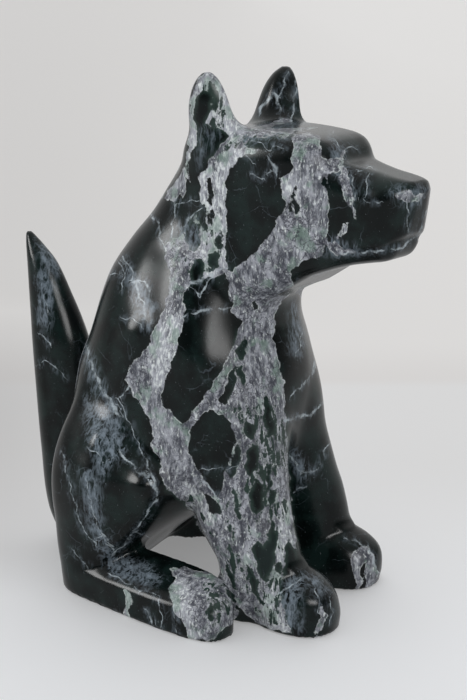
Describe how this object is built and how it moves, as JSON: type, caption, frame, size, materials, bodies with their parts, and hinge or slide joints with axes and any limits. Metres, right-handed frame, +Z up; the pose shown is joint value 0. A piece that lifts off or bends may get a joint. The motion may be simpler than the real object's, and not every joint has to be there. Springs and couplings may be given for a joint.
{
  "type": "dog carving",
  "caption": "Seated dog with pricked ears and a raised tail, carved from one block of dark veined serpentine and polished.",
  "frame": {"origin": "centre of the footprint, on the plane the carving stands on", "axes": "+Z up, +X the way the dog faces, +Y its left side"},
  "size_m": [0.174, 0.1078, 0.2],
  "materials": {
    "serpentine": "waxed satin polish, dark green-black with pale grey and lilac veins"
  },
  "bodies": {
    "root": {"dog": "serpentine"}
  },
  "joints": []
}
